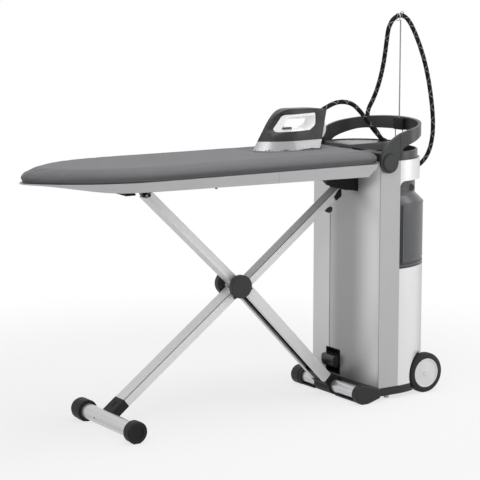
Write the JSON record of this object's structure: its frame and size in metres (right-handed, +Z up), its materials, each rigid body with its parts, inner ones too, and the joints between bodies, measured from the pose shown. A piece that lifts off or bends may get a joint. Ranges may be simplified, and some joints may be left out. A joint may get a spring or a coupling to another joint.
{
  "type": "steam ironing system",
  "caption": "Ironing board on a scissor stand hinged to a rolling column with water tank, foot latch, carrying bow and hose holder, and a steam iron on its hose.",
  "frame": {"origin": "middle of the footprint of the solid parts without the hose, on the floor", "axes": "+X along the board from its nose to the column, +Y across it to the side away from the viewer, +Z up"},
  "size_m": [1.5991, 0.416, 1.2913],
  "materials": {
    "skirt_paint": "light grey plastic, satin lacquer",
    "plate_steel": "plain perforated steel",
    "cover_fabric": "heather grey cloth over padding",
    "leg_aluminium": "brushed anodised aluminium",
    "bar_steel": "polished steel tube",
    "pin_steel": "plain steel",
    "black_plastic": "moulded, fine grain",
    "rubber": "matt",
    "panel_paint": "silver grey lacquer on plastic",
    "pad_plastic": "plain",
    "tyre_rubber": "matt",
    "wheel_disc": "satin silver",
    "tank_smoke": "smoked, clear",
    "handle_plastic": "fine grain",
    "rod_steel": "polished wire",
    "hose_textile": "textile braid with pale flecks over a rubber hose",
    "iron_dark": "satin",
    "iron_white": "gloss",
    "iron_silver": "silver lacquer",
    "sole_aluminium": "polished",
    "display_black": "glossy window",
    "button_grey": "satin",
    "boiler_steel": "plain",
    "pump_plastic": "moulded",
    "circuit_green": "lacquered board"
  },
  "bodies": {
    "root": {"base_tray": "black_plastic", "base_bar": "bar_steel", "base_feet": "black_plastic", "corner_pads": "pad_plastic", "wheel_axle": "pin_steel", "front_panel": "panel_paint", "side_pillars": "panel_paint", "rear_shell": "panel_paint", "tank_bay": "black_plastic", "top_deck": "black_plastic", "handle_bow": "handle_plastic", "handle_arms": "handle_plastic", "handle_caps": "handle_plastic", "rod_block": "black_plastic", "hose_rod": "rod_steel", "panel_liners": "black_plastic", "boiler": "boiler_steel", "feed_pump": "pump_plastic", "control_board": "circuit_green", "power_inlet": "black_plastic", "hose_fittings": "black_plastic", "hose_rear": "hose_textile"},
    "outer_leg": {"outer_leg_lower": "leg_aluminium", "outer_leg_upper": "leg_aluminium", "hub_covers": "black_plastic", "leg_pins": "pin_steel", "leg_sleeve": "black_plastic"},
    "top_carriage": {"rail_carriage": "black_plastic", "rail_rollers": "pad_plastic"},
    "inner_leg": {"inner_leg": "leg_aluminium", "hub_bushes": "pad_plastic", "front_joint": "black_plastic", "front_bar": "bar_steel", "front_caps": "black_plastic", "leg_end": "black_plastic", "leg_stop": "rubber"},
    "board": {"board_tray": "skirt_paint", "ironing_plate": "plate_steel", "board_cover": "cover_fabric", "rear_bracket": "black_plastic", "guide_rail": "plate_steel", "underside_fittings": "black_plastic", "board_pin": "pin_steel"},
    "release_lever": {"release_lever": "black_plastic"},
    "near_wheel": {"tyre_near": "tyre_rubber", "wheel_near": "wheel_disc"},
    "far_wheel": {"tyre_far": "tyre_rubber", "wheel_far": "wheel_disc"},
    "water_tank": {"water_tank": "tank_smoke", "tank_cap": "black_plastic"},
    "latch_pedal": {"latch_pedal": "black_plastic"},
    "power_button": {"power_button": "button_grey"},
    "iron": {"iron_soleplate": "sole_aluminium", "iron_band": "iron_silver", "iron_body": "iron_dark", "iron_heel": "iron_white", "grip_insert": "iron_white", "iron_display": "display_black", "hose_front": "hose_textile"},
    "steam_button": {"steam_button": "button_grey"}
  },
  "joints": [
    {"name": "height", "type": "hinge", "parent": "root", "child": "outer_leg", "pos_m": [0.4, 0, 0.033], "axis": [0, 1, 0], "range_deg": [0, 16.7]},
    {"name": "scissor", "type": "hinge", "parent": "outer_leg", "child": "inner_leg", "pos_m": [0.013, 0, 0.41301], "axis": [0, 1, 0], "range_deg": [-29.5, 0]},
    {"name": "board_hinge", "type": "hinge", "parent": "inner_leg", "child": "board", "pos_m": [0.4301, 0, 0.7381], "axis": [0, 1, 0], "range_deg": [0, 13]},
    {"name": "carriage_pivot", "type": "hinge", "parent": "outer_leg", "child": "top_carriage", "pos_m": [-0.3198, 0, 0.7398], "axis": [0, 1, 0], "range_deg": [-17.5, 0]},
    {"name": "height_lever", "type": "hinge", "parent": "board", "child": "release_lever", "pos_m": [-0.431, -0.034, 0.764], "axis": [1, 0, 0], "range_deg": [-8, 0], "stiffness_Nm_per_rad": 1.5},
    {"name": "near_wheel_spin", "type": "hinge", "parent": "root", "child": "near_wheel", "pos_m": [0.682, -0.167, 0.069], "axis": [0, 1, 0], "continuous": true},
    {"name": "far_wheel_spin", "type": "hinge", "parent": "root", "child": "far_wheel", "pos_m": [0.682, 0.167, 0.069], "axis": [0, 1, 0], "continuous": true},
    {"name": "tank_pull", "type": "slide", "parent": "root", "child": "water_tank", "axis": [0.7071, -0.7071, 0], "range_m": [0, 0.15]},
    {"name": "foot_latch", "type": "hinge", "parent": "root", "child": "latch_pedal", "pos_m": [0.485, 0.068, 0.112], "axis": [0, 1, 0], "range_deg": [-8, 0], "stiffness_Nm_per_rad": 3},
    {"name": "power_press", "type": "slide", "parent": "root", "child": "power_button", "axis": [0, 0, -1], "range_m": [0, 0.0015], "stiffness_N_per_m": 800},
    {"name": "iron_lift", "type": "slide", "parent": "board", "child": "iron", "axis": [0, 0, 1], "range_m": [0, 0.25]},
    {"name": "steam_press", "type": "slide", "parent": "iron", "child": "steam_button", "axis": [0.501, 0, -0.8655], "range_m": [0, 0.0015], "stiffness_N_per_m": 600}
  ],
  "couplings": [
    {"joint": "scissor", "follows": "height", "ratio": -1.745},
    {"joint": "board_hinge", "follows": "height", "ratio": 0.745},
    {"joint": "carriage_pivot", "follows": "height", "ratio": -1}
  ]
}
